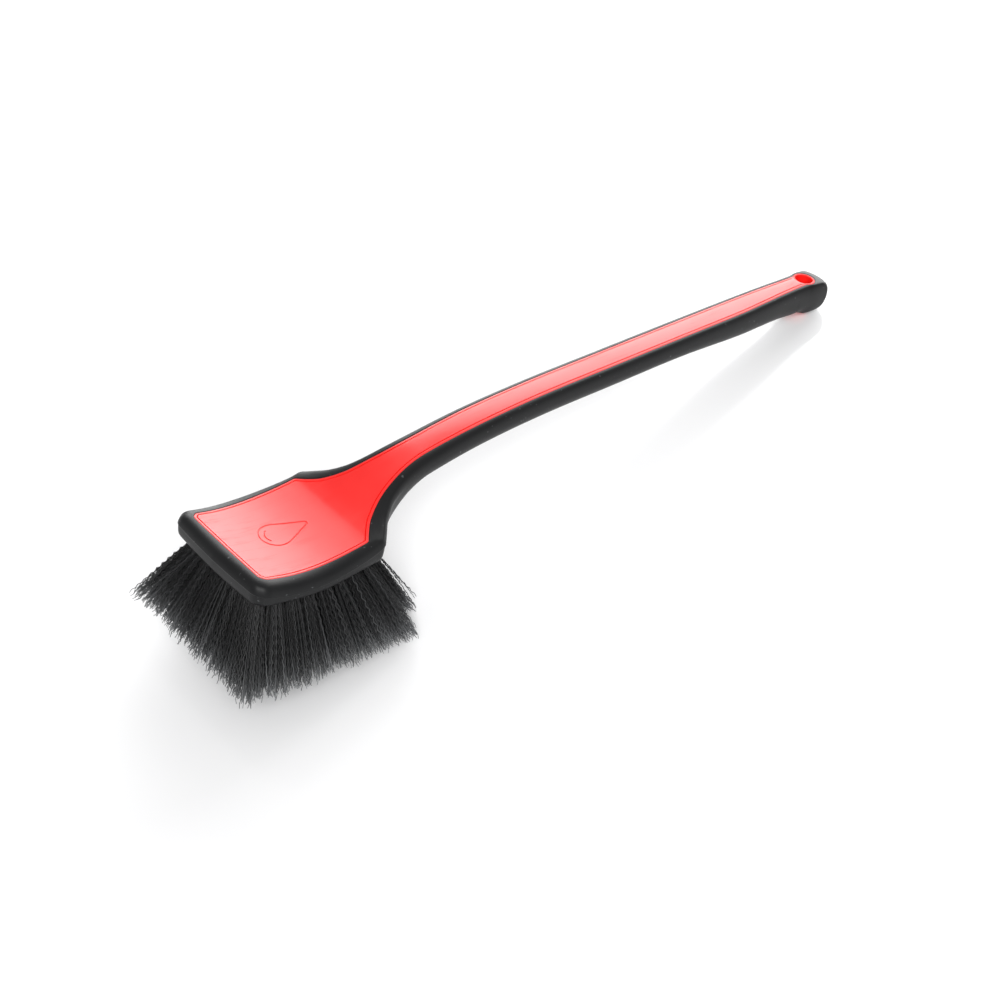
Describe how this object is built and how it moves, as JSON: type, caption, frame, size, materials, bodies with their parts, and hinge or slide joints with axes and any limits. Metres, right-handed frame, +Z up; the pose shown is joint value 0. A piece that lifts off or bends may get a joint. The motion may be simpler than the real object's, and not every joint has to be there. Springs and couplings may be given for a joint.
{
  "type": "wheel brush",
  "caption": "Long-handled brush with a curved two-material handle, a flat shouldered head, splayed black bristles and a lined hang hole at the handle's end.",
  "frame": {"origin": "on the surface that the brush lies on, under the middle of its overall length and width", "axes": "+X from the head to the hang hole along the length, +Y across the head, +Z up with the bristles down; the XZ plane is the brush's mirror plane"},
  "size_m": [0.5202, 0.116, 0.0881],
  "materials": {
    "core": "satin",
    "overmould": "matte",
    "filament": "satin",
    "staple": "satin"
  },
  "bodies": {
    "root": {"handle_core": "core", "grip_overmould": "overmould", "tufts_row_1": "filament", "tufts_row_2": "filament", "tufts_row_3": "filament", "tufts_row_4": "filament", "tufts_row_5": "filament", "tufts_row_6": "filament", "tufts_row_7": "filament", "tufts_row_8": "filament", "tufts_row_9": "filament", "staples_row_1": "staple", "staples_row_2": "staple", "staples_row_3": "staple", "staples_row_4": "staple", "staples_row_5": "staple", "staples_row_6": "staple", "staples_row_7": "staple", "staples_row_8": "staple", "staples_row_9": "staple"}
  },
  "joints": []
}
